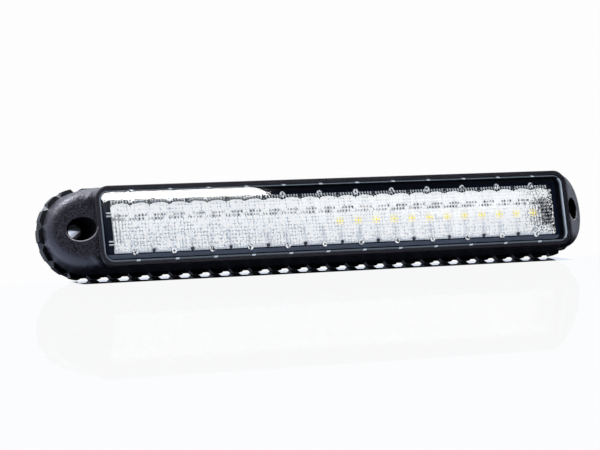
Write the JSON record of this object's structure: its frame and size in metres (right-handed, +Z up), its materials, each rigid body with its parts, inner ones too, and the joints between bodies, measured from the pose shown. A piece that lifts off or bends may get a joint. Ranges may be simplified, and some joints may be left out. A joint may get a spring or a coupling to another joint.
{
  "type": "combination lamp",
  "caption": "Slim rear combination lamp: a clear lens over a row of collimated light sources, in a black bezel with sloping screw ends on a toothed base.",
  "frame": {"origin": "middle of the rear mounting face, between the two screw holes", "axes": "+X along the lamp, +Y out of the rear mounting face, lens towards -Y, +Z up"},
  "size_m": [0.238, 0.021, 0.034],
  "materials": {
    "bezel_plastic": "fine moulded grain, black",
    "base_plastic": "satin moulded, black",
    "tub_plastic": "moulded, black",
    "board_laminate": "white solder mask",
    "mask_plastic": "polished, black",
    "optic_clear": "clear with a fine pillow pattern",
    "pin_clear": "clear, polished",
    "lens_clear": "clear, polished",
    "seal_rubber": "soft black rubber",
    "grommet_rubber": "soft black rubber",
    "sleeve_steel": "turned, bright",
    "red_led": "moulded package with a clear dome",
    "amber_led": "moulded package with a clear dome",
    "white_led": "moulded package with a yellow phosphor",
    "chip_body": "moulded, black",
    "diode_body": "moulded, black",
    "capacitor_body": "ceramic, tan",
    "resistor_body": "glazed, black",
    "terminal_brass": "tinned posts"
  },
  "bodies": {
    "root": {"front_bezel": "bezel_plastic", "mounting_base": "base_plastic", "housing_tub": "tub_plastic", "circuit_board": "board_laminate", "mask_frame": "mask_plastic", "inner_optic": "optic_clear", "optic_pins": "pin_clear", "outer_lens": "lens_clear", "lens_seal": "seal_rubber", "cable_grommet": "grommet_rubber", "screw_sleeves": "sleeve_steel", "red_leds": "red_led", "amber_leds": "amber_led", "white_leds": "white_led", "driver_chips": "chip_body", "input_diodes": "diode_body", "capacitors": "capacitor_body", "sense_resistors": "resistor_body", "wire_terminals": "terminal_brass"}
  },
  "joints": []
}
